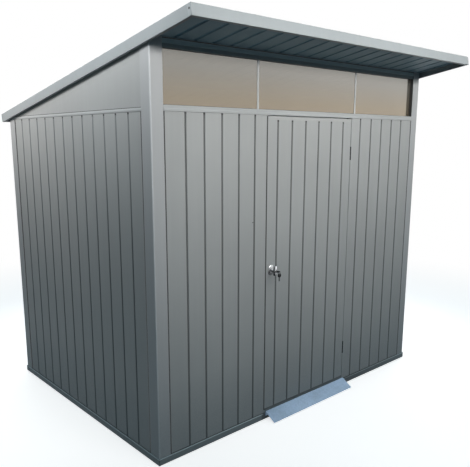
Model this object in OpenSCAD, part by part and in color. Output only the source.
// Metal tool shed with a mono-pitch roof, a window strip over the front wall and one hinged door.
// Millimetres. X runs along the front, Y from front to back, Z up. The origin is on the ground,
// in the middle of the wall footprint, under the middle floor joist.

/* [Walls] */
// Width over the corner posts
wall_w = 2340; // [1900:10:3200]
// Depth over the corner posts
wall_d = 1722; // [1300:2:2600]
// Height of the ribbed wall panels' top edge
panel_top = 1834; // [1500:1:2100]
// Thickness of the folded sheet
sheet_t = 1.2; // [0.8:0.1:2]
// Depth of the folded edge of a wall panel
panel_return = 20; // [14:1:30]
// How far a wall panel lies behind the posts' faces
panel_inset = 2; // [1:0.5:6]

/* [Ribs] */
// Spacing of the pressed grooves
rib_pitch = 120; // [80:5:200]
// Width of a groove at the face
rib_mouth = 14; // [8:1:24]
// Width of a groove at its bottom
rib_floor = 5; // [3:1:7]
// Depth of a groove
rib_depth = 6; // [3:0.5:10]
// Least plain width between a groove and the panel's edge
rib_margin = 25; // [15:1:50]
// Distance from the doorway's edge to the first groove of a fixed front panel
first_rib = 95; // [40:5:140]

/* [Posts] */
// Width of a corner post on the front or rear face
post_front_w = 75; // [50:1:120]
// Width of a corner post on a side face
post_side_w = 81; // [50:1:120]
// Depth of a post's inward folded lip
post_lip = 25; // [16:1:40]
// Thickness of the post sheet
post_t = 2; // [1:0.5:3]

/* [Base] */
// Height of the base rails
base_h = 39; // [30:1:60]
// Width of the base rails
base_w = 60; // [50:1:90]
// How far the base rails stand out past the posts
base_proud = 4; // [0:1:10]
// Thickness of the floor deck
deck_t = 2.5; // [1:0.5:20]
// Width of a floor joist
joist_w = 40; // [30:1:60]
// Number of floor joists
joist_count = 3; // [1:2:7]

/* [Door] */
// Width of the door leaf
door_w = 766; // [600:1:1000]
// Height of the door leaf's bottom edge
door_bottom = 59; // [50:1:80]
// Running gap all round the door leaf
door_gap = 5; // [5:0.5:8]
// Depth of the door leaf
leaf_depth = 24; // [20:1:35]
// Height of the trim along the door's top edge
door_top_trim_h = 26; // [15:1:50]
// Height of the trim along the door's bottom edge
door_bottom_trim_h = 15; // [12:1:40]
// Height of the threshold above the base rail
threshold_h = 15; // [8:1:20]
// Size of the square tube beside the doorway
jamb_w = 40; // [30:1:60]
// How far the stop behind the door laps the leaf
stop_lap = 10; // [6:1:20]
// Height of each hinge
hinge_h = 86; // [60:1:140]
// Distance from the door leaf's ends to the hinges
hinge_inset = 175; // [80:1:300]
// Radius of the hinge knuckles
knuckle_r = 3; // [2.5:0.1:3.1]
// Radius of the hinge pins
pin_r = 1.6; // [1:0.1:2]
// Radial clearance of the hinge pins
pin_clearance = 0.1; // [0.05:0.01:0.1]

/* [Lock] */
// Height of the lock above the ground
lock_z = 941; // [700:1:1200]
// Distance from the leaf's free edge to the lock's centre
lock_backset = 38; // [30:1:60]
// Height of the oval lock plate
lock_plate_h = 63; // [50:1:90]
// Width of the oval lock plate
lock_plate_w = 42; // [34:1:60]
// Thickness of the lock plate
lock_plate_t = 7; // [3:0.5:12]
// Radius of the handle's neck
neck_r = 9; // [6:0.5:12]
// Length of the handle's grip
grip_l = 62; // [40:1:90]
// Width of the handle's grip
grip_w = 15; // [10:1:22]
// Distance from the leaf's face to the grip's face
grip_reach = 45; // [35:1:60]
// Diameter of a key's black head
key_head_d = 24; // [18:1:30]

/* [Windows] */
// Height of the window strip's lower edge
glass_bottom = 1863; // [1500:1:2150]
// Height of the window strip's upper edge
glass_top = 2125; // [1700:1:2600]
// Thickness of the clear panes
glass_t = 3; // [2:0.5:6]
// How far the panes lie behind the posts' faces
glass_inset = 25; // [10:1:25]
// Width of a joint strip between panes
mullion_w = 14; // [8:1:40]
// Distance of the joint strips from the middle
mullion_x = 442; // [200:1:700]
// Depth of the rails above and below the panes
rail_t = 2; // [1:0.5:3]

/* [Gable] */
// Height of the trim strip over the side panels
side_trim_h = 18; // [10:1:40]
// Height of the side and rear panels' top edge
side_panel_top = 1832; // [1400:1:1900]

/* [Roof] */
// Height of the roof's top edge at the front
roof_front_z = 2252; // [2000:1:2800]
// Pitch of the roof in degrees
roof_pitch = 10; // [6:0.5:11]
// Overhang at the front
over_front = 341; // [50:1:600]
// Overhang at the rear
over_rear = 83; // [40:1:300]
// Overhang at the sides
over_side = 23; // [22:1:200]
// Height of the roof's edge trim
fascia_h = 55; // [40:1:120]
// Thickness of the roof's edge trim
fascia_t = 1.5; // [1:0.5:3]
// Width of the edge trim's upper flange
fascia_top_w = 35; // [20:1:60]
// Width of the edge trim's lower flange
fascia_low_w = 18; // [8:1:18]
// Height of the roof sheet's ribs
roof_rib_h = 16; // [8:1:25]
// Width of a roof rib at its foot
roof_rib_foot = 24; // [16:1:40]
// Width of a roof rib at its crown
roof_rib_crown = 10; // [6:1:15]
// Depth of a roof purlin
purlin_h = 50; // [30:1:90]
// Width of a roof purlin
purlin_w = 40; // [30:1:60]

/* [Ramp] */
// Width of the ramp plate
ramp_w = 772; // [600:1:1000]
// Distance of the ramp's middle from the door's middle
ramp_shift = 8; // [-20:1:20]
// Height of the ramp's upper edge
ramp_h = 51; // [46:1:53]
// How far the ramp reaches out in front of the base rail
ramp_reach = 78; // [50:1:200]
// Thickness of the ramp plate
ramp_t = 2; // [1:0.5:4]

/* [Hidden] */

half_w = wall_w / 2;
half_d = wall_d / 2;
far = 2 * (wall_w + wall_d + roof_front_z);

// Planes of the front: every depth is counted from the posts' faces
face_y = -half_d;
wall_y = face_y + panel_inset;
leaf_back_y = wall_y + leaf_depth;
stop_y = leaf_back_y + sheet_t + door_gap;
glass_y = face_y + glass_inset;
post_in_x = half_w - post_front_w;
post_in_y = half_d - post_side_w;

// Doorway
door_half = door_w / 2;
opening_half = door_half + door_gap;
door_top = panel_top - door_gap;
lock_x = -door_half + lock_backset;
hinge_x = door_half + door_gap / 2;
hinge_y = face_y;
hinge_plate_t = 1.5;
hinge_plate_w = 25;
hinge_split = 0.5;

// Hollow square tubes beside the doorway, their stop and the threshold
jamb_y = wall_y + rib_depth + sheet_t + 2;
jamb_d = 30;
threshold_top = base_h + threshold_h;
threshold_lip_h = 16;
stop_t = 2;
deck_front_y = jamb_y + jamb_d;

// Roof planes
roof_front_y = -half_d - over_front;
roof_len = (wall_d + over_front + over_rear) / cos(roof_pitch);
roof_half = half_w + over_side;
roof_depth = fascia_t + roof_rib_h + sheet_t;
roof_seat = 0.02;
function roof_under(y) = roof_front_z - (y - roof_front_y) * tan(roof_pitch)
    - (roof_depth + roof_seat) / cos(roof_pitch);

// Wall braces and purlins
brace_z = 960;
brace_h = 40;
brace_d = 20;
brace_t = 1.5;
purlin_places = [-0.15, 0.2];

// Lock details
handle_neck_start = 2;
lock_play = 0.1;
spindle_r = 5;
spindle_play = 1;
cam_t = 3;
cam_w = 15;
grip_d = 16;
key_shank_w = 8;
key_shank_t = 2.5;
key_shank_l = 6;
key_blade_l = 24;
key_head_t = 4;
key_hole_r = 3.6;
key_bridge = 4.6;
key_hole_offset = key_head_d / 2 - key_bridge - key_hole_r;
key_ring_r = 9;
key_ring_wire = 1;
key_play = 0.5;

// Groove middles on a panel of length len, in pairs about its middle
function even_ribs(len) =
    let (pairs = floor((len / 2 - rib_pitch / 2 - rib_margin) / rib_pitch))
    [for (i = [-pairs - 1 : pairs]) len / 2 + (i + 0.5) * rib_pitch];

// Groove middles on a panel of length len, counted from its starting edge
function edge_ribs(len) =
    [for (i = [0 : floor((len - first_rib - rib_margin) / rib_pitch)]) first_rib + i * rib_pitch];

// Outline of a pressed panel: face along X at y = 0, grooves and folded edges towards +Y
function groove(x, dy) = [[x - rib_mouth / 2, dy], [x - rib_floor / 2, rib_depth + dy],
    [x + rib_floor / 2, rib_depth + dy], [x + rib_mouth / 2, dy]];
function reversed(list) = [for (i = [len(list) - 1 : -1 : 0]) list[i]];
function panel_outline(len, ribs, fold) = concat(
    [[0, fold], [0, 0]],
    [for (x = ribs) each groove(x, 0)],
    [[len, 0], [len, fold], [len - sheet_t, fold], [len - sheet_t, sheet_t]],
    reversed([for (x = ribs) each groove(x, sheet_t)]),
    [[sheet_t, sheet_t], [sheet_t, fold]]);

// Pressed panel standing on height low, face towards -Y at y = 0, from x = 0 to x = length
module pressed_panel(length, ribs, low, high, fold) {
    translate([0, 0, low])
        linear_extrude(high - low) polygon(panel_outline(length, ribs, fold));
}

// Hollow bar: outline points run along X from x0 to x1, given as [y, z]
module bar_x(points, x0, x1) {
    translate([x0, 0, 0]) rotate([90, 0, 90]) linear_extrude(x1 - x0) polygon(points);
}

// The same along Y, outline points given as [x, z]
module bar_y(points, y0, y1) {
    translate([0, y1, 0]) rotate([90, 0, 0]) linear_extrude(y1 - y0) polygon(points);
}

// Channel outline, web on the left, open to the right
function channel(w, h, t) = [[0, 0], [w, 0], [w, t], [t, t], [t, h - t], [w, h - t], [w, h], [0, h]];
function moved(points, dx, dy) = [for (p = points) [p[0] + dx, p[1] + dy]];
function flipped(points) = reversed([for (p = points) [-p[0], p[1]]]);

// Keeps only what lies under the roof sheet
module under_roof() {
    difference() {
        children();
        on_roof() translate([-far / 2, -far / 2, -roof_depth]) cube(far);
    }
}

// Places children in the roof's own frame: y runs down the slope, z stands on the sheet
module on_roof() {
    translate([0, roof_front_y, roof_front_z]) rotate([-roof_pitch, 0, 0]) children();
}

// Mitred bar along X with its outer face on y = 0: outline points are [inwards, up]
module mitred_bar(points, length, w, low, high) {
    intersection() {
        bar_x(points, 0, length);
        translate([0, 0, low - 1])
            linear_extrude(high - low + 2)
                polygon([[0, 0], [length, 0], [length - w, w], [w, w]]);
    }
}

// Base frame of channels that open inwards, mitred at the corners
module base_rail(length) {
    mitred_bar(channel(base_w, base_h, rail_t), length, base_w, 0, base_h);
}

base_half_x = half_w + base_proud;
base_half_y = half_d + base_proud;

module base_rail_front() {
    color("#5c6468") translate([-base_half_x, -base_half_y, 0]) base_rail(2 * base_half_x);
}

module base_rail_rear() {
    color("#5c6468")
        translate([base_half_x, base_half_y, 0]) rotate([0, 0, 180]) base_rail(2 * base_half_x);
}

module base_rail_left() {
    color("#5c6468")
        translate([-base_half_x, base_half_y, 0]) rotate([0, 0, -90]) base_rail(2 * base_half_y);
}

module base_rail_right() {
    color("#5c6468")
        translate([base_half_x, -base_half_y, 0]) rotate([0, 0, 90]) base_rail(2 * base_half_y);
}

// Floor joists between the side rails
module floor_joists() {
    reach = half_w + base_proud - base_w;
    spacing = 2 * half_d / (joist_count + 1);
    color("#9aa3a8")
        for (i = [0 : joist_count - 1])
            bar_x(moved(channel(joist_w, base_h, rail_t),
                (i - (joist_count - 1) / 2) * spacing - joist_w / 2, 0), -reach, reach);
}

module floor_deck() {
    x_reach = half_w - post_lip;
    y_reach = half_d - post_lip;
    color("#9aa3a8")
        translate([-x_reach, deck_front_y, base_h])
            cube([2 * x_reach, y_reach - deck_front_y, deck_t]);
}

// Corner post: angle with two inward lips, drawn for the front left corner
module corner_post() {
    x = -half_w;
    y = -half_d;
    outline = [[x, y], [x + post_front_w, y], [x + post_front_w, y + post_lip],
        [x + post_front_w - post_t, y + post_lip], [x + post_front_w - post_t, y + post_t],
        [x + post_t, y + post_t], [x + post_t, y + post_side_w - post_t],
        [x + post_lip, y + post_side_w - post_t], [x + post_lip, y + post_side_w],
        [x, y + post_side_w]];
    translate([0, 0, base_h]) linear_extrude(roof_front_z) polygon(outline);
}

module post_front_left() {
    color("#a7abac") under_roof() corner_post();
}

module post_front_right() {
    color("#a7abac") under_roof() mirror([1, 0, 0]) corner_post();
}

module post_rear_left() {
    color("#a7abac") under_roof() mirror([0, 1, 0]) corner_post();
}

module post_rear_right() {
    color("#a7abac") under_roof() mirror([0, 1, 0]) mirror([1, 0, 0]) corner_post();
}

// Fixed front panels on both sides of the doorway
module front_wall_panel() {
    length = post_in_x - opening_half;
    translate([opening_half, wall_y, 0])
        pressed_panel(length, edge_ribs(length), base_h, panel_top, panel_return);
}

module front_wall_left() {
    color("#8b9194") mirror([1, 0, 0]) front_wall_panel();
}

module front_wall_right() {
    color("#8b9194") front_wall_panel();
}

module side_wall_panel() {
    length = 2 * post_in_y;
    translate([half_w - panel_inset, -post_in_y, 0]) rotate([0, 0, 90])
        pressed_panel(length, even_ribs(length), base_h, side_panel_top, panel_return);
}

module side_wall_left() {
    color("#8b9194") mirror([1, 0, 0]) side_wall_panel();
}

module side_wall_right() {
    color("#8b9194") side_wall_panel();
}

module rear_wall() {
    length = 2 * post_in_x;
    color("#8b9194")
        mirror([0, 1, 0]) translate([-post_in_x, wall_y, 0])
            pressed_panel(length, even_ribs(length), base_h, side_panel_top, panel_return);
}

// Level stiffening channels behind the side and rear panels
module wall_braces() {
    inset = panel_inset + rib_depth + sheet_t;
    color("#9aa3a8") {
        for (side = [0, 1])
            mirror([side, 0, 0])
                bar_y(moved(channel(brace_d, brace_h, brace_t), -half_w + inset, brace_z),
                    -post_in_y + sheet_t, post_in_y - sheet_t);
        bar_x(moved(flipped(channel(brace_d, brace_h, brace_t)), half_d - inset, brace_z),
            -post_in_x + sheet_t, post_in_x - sheet_t);
    }
}

// Square tube beside the doorway
module door_jamb() {
    color("#9aa3a8")
        translate([0, 0, base_h])
            linear_extrude(panel_top - base_h)
                translate([opening_half + sheet_t, jamb_y])
                    difference() {
                        square([jamb_w, jamb_d]);
                        translate([rail_t, rail_t])
                            square([jamb_w - 2 * rail_t, jamb_d - 2 * rail_t]);
                    }
}

module door_jamb_left() {
    mirror([1, 0, 0]) door_jamb();
}

module door_jamb_right() {
    door_jamb();
}

// Flat strip on the tube's inner side that the closed door rests against
module door_stop() {
    in_x = opening_half + sheet_t;
    color("#9aa3a8")
        translate([door_half - stop_lap, stop_y, base_h])
            cube([in_x - door_half + stop_lap, stop_t, panel_top - base_h]);
}

module door_stop_left() {
    mirror([1, 0, 0]) door_stop();
}

module door_stop_right() {
    door_stop();
}

// Folded threshold under the door, with an upstand behind the leaf
module door_threshold() {
    back_half = door_half - stop_lap;
    color("#7d868b")
        union() {
            bar_x([[wall_y, base_h], [wall_y, threshold_top], [stop_y, threshold_top],
                [stop_y, threshold_top - rail_t], [wall_y + rail_t, threshold_top - rail_t],
                [wall_y + rail_t, base_h]], -opening_half, opening_half);
            bar_x([[stop_y, base_h], [stop_y, threshold_top + threshold_lip_h],
                [stop_y + stop_t, threshold_top + threshold_lip_h], [stop_y + stop_t, base_h]],
                -back_half, back_half);
        }
}

// Strip over the doorway, fixed to the back of the sill rail
module door_head() {
    back_half = door_half - stop_lap;
    low = door_top - stop_lap - door_gap;
    color("#9aa3a8")
        translate([-back_half, stop_y, low]) cube([2 * back_half, stop_t, glass_bottom - low]);
}

// Stepped rail under the window strip
module front_sill_rail() {
    step_z = panel_top + 0.45 * (glass_bottom - panel_top);
    out_y = face_y - 2;
    up_y = face_y + 1;
    color("#b4bcc0")
        bar_x([[out_y, panel_top], [out_y, step_z], [up_y, step_z], [up_y, glass_bottom],
            [stop_y, glass_bottom], [stop_y, glass_bottom - rail_t],
            [up_y + rail_t, glass_bottom - rail_t], [up_y + rail_t, step_z - rail_t],
            [out_y + rail_t, step_z - rail_t], [out_y + rail_t, panel_top + rail_t],
            [stop_y, panel_top + rail_t], [stop_y, panel_top]], -post_in_x, post_in_x);
}

module window_pane(x0, x1) {
    color("#a89a86", 0.45)
        translate([x0, glass_y, glass_bottom]) cube([x1 - x0, glass_t, glass_top - glass_bottom]);
}

module window_pane_left() {
    window_pane(-post_in_x, -mullion_x - mullion_w / 2);
}

module window_pane_middle() {
    window_pane(-mullion_x + mullion_w / 2, mullion_x - mullion_w / 2);
}

module window_pane_right() {
    window_pane(mullion_x + mullion_w / 2, post_in_x);
}

// Joint strips between the panes
module window_mullions() {
    proud = 2;
    color("#b4bcc0")
        for (side = [-1, 1])
            translate([side * mullion_x - mullion_w / 2, glass_y - proud, glass_bottom])
                cube([mullion_w, glass_t + 2 * proud, glass_top - glass_bottom]);
}

// Hollow rail over the window strip, its top under the roof sheet
module front_header() {
    color("#5a656c")
        under_roof()
            difference() {
                translate([-post_in_x, wall_y, glass_top])
                    cube([2 * post_in_x, stop_y - wall_y, roof_front_z - glass_top]);
                translate([-far / 2, wall_y + rail_t, glass_top + rail_t])
                    cube([far, stop_y - wall_y - 2 * rail_t, roof_front_z]);
            }
}

// Light strip that closes the top of a side panel
module side_trim() {
    depth = panel_inset + panel_return;
    bar_y(moved(channel(depth, side_trim_h, rail_t), -half_w, side_panel_top),
        -post_in_y, post_in_y);
}

module side_trim_left() {
    color("#b4bcc0") side_trim();
}

module side_trim_right() {
    color("#b4bcc0") mirror([1, 0, 0]) side_trim();
}

// Plain sheet between the side trim and the roof
module gable_panel() {
    low = side_panel_top + side_trim_h;
    translate([-half_w + panel_inset, 0, 0]) rotate([90, 0, 90])
        linear_extrude(sheet_t)
            polygon([[-post_in_y, low], [post_in_y, low], [post_in_y, roof_under(post_in_y)],
                [-post_in_y, roof_under(-post_in_y)]]);
}

module gable_panel_left() {
    color("#8b9194") gable_panel();
}

module gable_panel_right() {
    color("#8b9194") mirror([1, 0, 0]) gable_panel();
}

// Hollow rail over the rear wall
module rear_top_rail() {
    back_y = half_d - panel_inset;
    front_y = back_y - panel_return;
    color("#b4bcc0")
        bar_x([[back_y, side_panel_top], [back_y, roof_under(back_y)],
            [front_y, roof_under(front_y)], [front_y, roof_under(front_y) - rail_t],
            [back_y - rail_t, roof_under(back_y - rail_t) - rail_t],
            [back_y - rail_t, side_panel_top + rail_t], [front_y, side_panel_top + rail_t],
            [front_y, side_panel_top]], -post_in_x, post_in_x);
}

// Roof sheet with ribs that run down the slope
module roof_sheet() {
    half = roof_half - fascia_t;
    pan_z = -roof_depth;
    count = floor((half - rib_pitch / 2 - rib_margin) / rib_pitch);
    ribs = [for (i = [-count - 1 : count]) (i + 0.5) * rib_pitch];
    function rib(x, dz) = [[x - roof_rib_foot / 2, pan_z + dz],
        [x - roof_rib_crown / 2, pan_z + roof_rib_h + dz],
        [x + roof_rib_crown / 2, pan_z + roof_rib_h + dz], [x + roof_rib_foot / 2, pan_z + dz]];
    outline = concat([[-half, pan_z]], [for (x = ribs) each rib(x, 0)], [[half, pan_z],
        [half, pan_z + sheet_t]], reversed([for (x = ribs) each rib(x, sheet_t)]),
        [[-half, pan_z + sheet_t]]);
    color("#7f8b92")
        on_roof() bar_y(outline, fascia_t, roof_len - fascia_t);
}

// Edge trim: outline in [inwards, up] from the outer top edge
fascia_outline = [[0, 0], [fascia_top_w, 0], [fascia_top_w, -fascia_t], [fascia_t, -fascia_t],
    [fascia_t, -fascia_h + fascia_t], [fascia_low_w, -fascia_h + fascia_t],
    [fascia_low_w, -fascia_h], [0, -fascia_h]];

module fascia_length(length) {
    mitred_bar(reversed(fascia_outline), length, fascia_top_w, -fascia_h, 0);
}

module roof_fascia_front() {
    color("#bac3c9") on_roof() translate([-roof_half, 0, 0]) fascia_length(2 * roof_half);
}

module roof_fascia_rear() {
    color("#bac3c9")
        on_roof() translate([roof_half, roof_len, 0]) rotate([0, 0, 180])
            fascia_length(2 * roof_half);
}

module roof_fascia_left() {
    color("#bac3c9")
        on_roof() translate([-roof_half, roof_len, 0]) rotate([0, 0, -90]) fascia_length(roof_len);
}

module roof_fascia_right() {
    color("#bac3c9") on_roof() translate([roof_half, 0, 0]) rotate([0, 0, 90]) fascia_length(roof_len);
}

// Purlins across the shed under the roof sheet
module roof_purlins() {
    reach = half_w - panel_inset - sheet_t;
    color("#9aa3a8")
        for (place = purlin_places) {
            y = place * wall_d;
            bar_x([[y, roof_under(y)], [y + purlin_w, roof_under(y + purlin_w)],
                [y + purlin_w, roof_under(y + purlin_w) - rail_t],
                [y + rail_t, roof_under(y + rail_t) - rail_t],
                [y + rail_t, roof_under(y) - purlin_h + rail_t],
                [y + purlin_w, roof_under(y) - purlin_h + rail_t],
                [y + purlin_w, roof_under(y) - purlin_h], [y, roof_under(y) - purlin_h]],
                -reach, reach);
        }
}

// Door leaf: pressed sheet with deep folded edges
module door_leaf() {
    color("#8b9194")
        difference() {
            translate([-door_half, wall_y, 0])
                pressed_panel(door_w, even_ribs(door_w), door_bottom + sheet_t,
                    door_top - sheet_t, leaf_depth);
            translate([lock_x, wall_y - 1, lock_z]) rotate([-90, 0, 0])
                cylinder(r = spindle_r + spindle_play, h = rib_depth + sheet_t + 2, $fn = 32);
        }
}

// Channels that cap the leaf's upper and lower ends
module door_end_trims() {
    front = wall_y - sheet_t;
    depth = leaf_depth + 2 * sheet_t;
    function cap(h) = [[0, 0], [depth, 0], [depth, h], [depth - sheet_t, h],
        [depth - sheet_t, sheet_t], [sheet_t, sheet_t], [sheet_t, h], [0, h]];
    color("#b4bcc0") {
        bar_x(moved(cap(door_bottom_trim_h), front, door_bottom), -door_half, door_half);
        bar_x([for (p = reversed(cap(door_top_trim_h))) [front + p[0], door_top - p[1]]],
            -door_half, door_half);
    }
}

// Level channels inside the leaf
module door_stiffeners() {
    front = wall_y + rib_depth + sheet_t;
    depth = leaf_back_y - front;
    rail_h = 40;
    color("#9aa3a8")
        for (z = [door_bottom + 60, lock_z - 2 * rail_h, door_top - 100])
            bar_x(moved(channel(depth, rail_h, brace_t), front, z),
                -door_half + sheet_t, door_half - sheet_t);
}

// Heights at which the two hinges start
hinge_starts = [door_bottom + hinge_inset, door_top - hinge_inset - hinge_h];

// Wall half of a hinge: two knuckles on one pin, and the plate on the wall panel's folded edge
module wall_hinges() {
    third = hinge_h / 3;
    plate_x = opening_half - hinge_plate_t;
    color("#2b2f31")
        for (z = hinge_starts)
            union() {
                for (end = [0, 2])
                    translate([hinge_x, hinge_y, z + end * third])
                        cylinder(r = knuckle_r, h = third, $fn = 48);
                translate([hinge_x, hinge_y, z]) cylinder(r = pin_r, h = hinge_h, $fn = 48);
                for (end = [0, 2])
                    translate([plate_x, hinge_y, z + end * third])
                        cube([hinge_plate_t, hinge_plate_w - panel_inset, third]);
            }
}

// Door half of a hinge: the middle knuckle and the plate on the leaf's folded edge
module door_hinges() {
    third = hinge_h / 3;
    color("#2b2f31")
        for (z = hinge_starts)
            translate([hinge_x, hinge_y, z + third + hinge_split])
                difference() {
                    union() {
                        cylinder(r = knuckle_r, h = third - 2 * hinge_split, $fn = 48);
                        translate([-door_gap / 2, 0, 0])
                            cube([hinge_plate_t, hinge_plate_w - panel_inset,
                                third - 2 * hinge_split]);
                    }
                    translate([0, 0, -1])
                        cylinder(r = pin_r + pin_clearance, h = third + 2, $fn = 48);
                }
}

// Oval plate behind the handle
module lock_plate() {
    straight = lock_plate_h - lock_plate_w;
    color("#d5dadd")
        translate([lock_x, wall_y, lock_z]) rotate([90, 0, 0])
            difference() {
                union() {
                    for (end = [-1, 1])
                        translate([0, end * straight / 2, 0])
                            cylinder(r = lock_plate_w / 2, h = lock_plate_t, $fn = 64);
                    translate([-lock_plate_w / 2, -straight / 2, 0])
                        cube([lock_plate_w, straight, lock_plate_t]);
                }
                translate([0, 0, -1])
                    cylinder(r = neck_r + lock_play, h = lock_plate_t + 2, $fn = 64);
            }
}

// Turning handle with its neck, grip, spindle and the cam behind the leaf
module lock_handle() {
    cam_y = stop_y + stop_t + door_gap;
    cam_reach = opening_half + sheet_t - door_gap + lock_x;
    neck_l = grip_reach - grip_d - handle_neck_start;
    color("#d5dadd")
        translate([lock_x, 0, lock_z])
            union() {
                translate([0, wall_y - handle_neck_start, 0]) rotate([90, 0, 0])
                    cylinder(r = neck_r, h = neck_l + 1, $fn = 64);
                translate([0, cam_y + cam_t, 0]) rotate([90, 0, 0])
                    cylinder(r = spindle_r, h = cam_y + cam_t - wall_y + handle_neck_start + 1,
                        $fn = 48);
                translate([0, wall_y - grip_reach + grip_d, 0]) rotate([90, 0, 0]) {
                    for (end = [-1, 1])
                        translate([0, end * (grip_l - grip_w) / 2, 0])
                            cylinder(r = grip_w / 2, h = grip_d, $fn = 48);
                    translate([-grip_w / 2, -(grip_l - grip_w) / 2, 0])
                        cube([grip_w, grip_l - grip_w, grip_d]);
                    cylinder(r = neck_r + 2, h = grip_d, $fn = 64);
                }
                translate([-cam_w / 2, cam_y, -cam_reach])
                    cube([cam_w, cam_t, cam_reach + cam_w / 2]);
            }
}

// Round key head of thickness key_head_t about the z axis, its hole towards -Y
module key_head() {
    difference() {
        cylinder(d = key_head_d, h = key_head_t, center = true, $fn = 48);
        translate([0, -key_hole_offset, 0])
            cylinder(r = key_hole_r, h = key_head_t + 2, center = true, $fn = 32);
    }
}

// Key in the handle, the ring through its head and the spare key that hangs from the ring
module keys() {
    front = wall_y - grip_reach;
    head_y = front - key_shank_l - key_head_d / 2 + 1;
    ring_y = head_y - key_head_d / 2 + key_bridge / 2;
    ring_z = key_head_t / 2 + key_play + key_ring_wire - key_ring_r;
    spare_z = ring_z - key_ring_r + key_ring_wire + key_play - key_hole_r - key_hole_offset;
    color("#1c1e20")
        translate([lock_x, 0, lock_z]) {
            union() {
                translate([-key_shank_w / 2, head_y, -key_shank_t / 2])
                    cube([key_shank_w, front - head_y, key_shank_t]);
                translate([0, head_y, 0]) key_head();
            }
            translate([0, ring_y, ring_z]) rotate([0, 90, 0])
                rotate_extrude($fn = 48)
                    translate([key_ring_r, 0]) circle(r = key_ring_wire, $fn = 24);
            translate([0, ring_y, spare_z])
                union() {
                    rotate([-90, 0, 0]) key_head();
                    translate([-key_shank_w / 2, -key_shank_t / 2, -key_head_d / 2 - key_blade_l])
                        cube([key_shank_w, key_shank_t, key_blade_l + 2]);
                }
        }
}

// Sloped plate up to the threshold, with a folded edge against the base rail
module ramp_plate() {
    back = face_y - base_proud;
    toe = back - ramp_reach;
    fold = 30;
    color("#8ca5be")
        bar_x([[toe, 0], [toe, ramp_t], [back - ramp_t, ramp_h], [back, ramp_h],
            [back, ramp_h - fold], [back - ramp_t, ramp_h - fold],
            [back - ramp_t, ramp_h - 1.4 * ramp_t], [toe + 1.4 * ramp_t, 0]],
            ramp_shift - ramp_w / 2, ramp_shift + ramp_w / 2);
}

base_rail_front();
base_rail_rear();
base_rail_left();
base_rail_right();
floor_joists();
floor_deck();
post_front_left();
post_front_right();
post_rear_left();
post_rear_right();
front_wall_left();
front_wall_right();
side_wall_left();
side_wall_right();
rear_wall();
wall_braces();
door_jamb_left();
door_jamb_right();
door_stop_left();
door_stop_right();
door_threshold();
door_head();
front_sill_rail();
window_pane_left();
window_pane_middle();
window_pane_right();
window_mullions();
front_header();
side_trim_left();
side_trim_right();
gable_panel_left();
gable_panel_right();
rear_top_rail();
roof_sheet();
roof_fascia_front();
roof_fascia_rear();
roof_fascia_left();
roof_fascia_right();
roof_purlins();
door_leaf();
door_end_trims();
door_stiffeners();
wall_hinges();
door_hinges();
lock_plate();
lock_handle();
keys();
ramp_plate();
